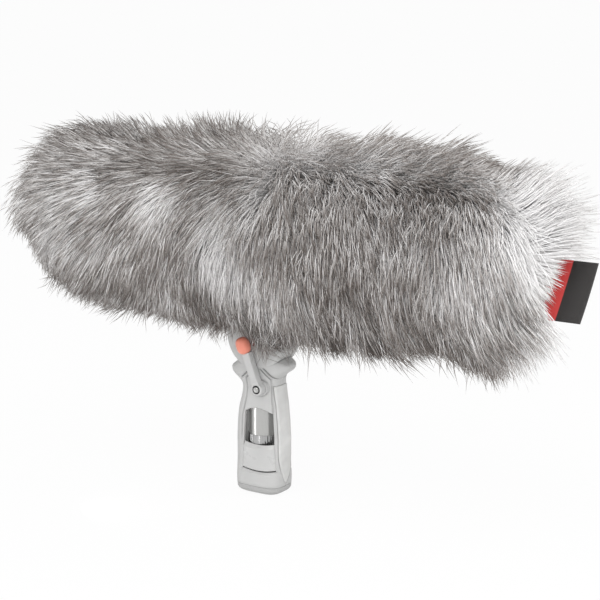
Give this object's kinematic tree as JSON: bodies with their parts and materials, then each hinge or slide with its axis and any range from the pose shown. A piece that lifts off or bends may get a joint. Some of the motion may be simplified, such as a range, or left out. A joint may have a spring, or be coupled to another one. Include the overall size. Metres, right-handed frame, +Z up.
{
  "type": "furry windscreen",
  "caption": "Microphone windscreen: a mesh basket in a long grey fur jacket on a tilting pistol grip with a locking lever.",
  "frame": {"origin": "middle of the boom socket's mouth, under the grip", "axes": "+X along the basket to its rear end, +Z up the grip, the lever side is -Y"},
  "size_m": [0.485, 0.148, 0.285],
  "materials": {
    "grip_shell": "satin moulded",
    "grip_rubber": "matte",
    "chrome": "polished",
    "knurl": "knurled",
    "plate": "satin",
    "brass": "machined",
    "steel": "zinc plated",
    "washer": "matte",
    "lever": "satin",
    "knob": "satin",
    "brake": "matte",
    "knuckle": "satin",
    "cage": "satin moulded",
    "mesh": "knitted acoustic mesh",
    "rail": "black anodised",
    "lyre": "satin",
    "gland": "matte",
    "fur": "long-pile fur",
    "binding": "woven elastic",
    "zip_tape": "woven",
    "zip_metal": "nickel plated",
    "label": "woven tape, red and near black"
  },
  "bodies": {
    "grip": {"grip_near_shell": "grip_shell", "grip_far_shell": "grip_shell", "grip_back_strap": "grip_rubber", "core_tube": "chrome", "knurled_ring": "knurl", "near_plate": "plate", "far_plate": "plate", "base_cap": "grip_shell", "socket_insert": "brass", "shell_screws": "steel", "tilt_bolt": "steel", "tilt_nut": "steel", "friction_washers": "washer"},
    "lever": {"lock_lever": "lever", "lever_knob": "knob", "lever_shaft": "steel", "lever_screw": "chrome"},
    "brake": {"brake_shoe": "brake"},
    "windshield": {"tilt_knuckle": "knuckle", "basket_cage": "cage", "basket_mesh": "mesh", "front_ring": "cage", "rear_ring": "cage", "front_cap": "cage", "front_cap_mesh": "mesh", "suspension_rail": "rail", "rail_screws": "steel", "cable_gland": "gland", "jacket_sleeve": "fur", "jacket_front": "fur", "jacket_rear": "fur", "slot_binding": "binding", "zip_tapes": "zip_tape", "zip_teeth": "zip_metal", "zip_stop": "zip_metal", "label_tag": "label"},
    "rear_cap": {"rear_cap": "cage", "rear_cap_mesh": "mesh"},
    "front_lyre": {"front_carriage": "lyre", "front_lyre": "lyre", "front_clip": "lyre", "front_clamp_screw": "steel"},
    "rear_lyre": {"rear_carriage": "lyre", "rear_lyre": "lyre", "rear_clip": "lyre", "rear_clamp_screw": "steel"},
    "zip_slider": {"zip_slider": "zip_metal"},
    "zip_pull": {"zip_pull": "zip_metal"}
  },
  "joints": [
    {"name": "windshield_tilt", "type": "hinge", "parent": "grip", "child": "windshield", "pos_m": [0, 0, 0.128], "axis": [0, 1, 0], "range_deg": [-30, 30]},
    {"name": "lock_lever", "type": "hinge", "parent": "grip", "child": "lever", "pos_m": [0.007, 0, 0.088], "axis": [0, 1, 0], "range_deg": [0, 60]},
    {"name": "brake_slide", "type": "slide", "parent": "grip", "child": "brake", "axis": [-0.1724, 0, 0.985], "range_m": [-0.0006, 0]},
    {"name": "rear_cap_twist", "type": "hinge", "parent": "windshield", "child": "rear_cap", "pos_m": [0.184, 0, 0.211], "axis": [1, 0, 0], "range_deg": [0, 30]},
    {"name": "front_lyre_slide", "type": "slide", "parent": "windshield", "child": "front_lyre", "axis": [1, 0, 0], "range_m": [-0.015, 0.015]},
    {"name": "rear_lyre_slide", "type": "slide", "parent": "windshield", "child": "rear_lyre", "axis": [1, 0, 0], "range_m": [-0.015, 0.015]},
    {"name": "zip_slide", "type": "slide", "parent": "windshield", "child": "zip_slider", "axis": [1, 0, 0], "range_m": [0, 0.1]},
    {"name": "zip_pull_swing", "type": "hinge", "parent": "zip_slider", "child": "zip_pull", "pos_m": [0.043, 0, 0.1569], "axis": [0, 1, 0], "range_deg": [-60, 60]}
  ],
  "couplings": [
    {"joint": "brake_slide", "follows": "lock_lever", "m_per_rad": -0.00057238}
  ]
}
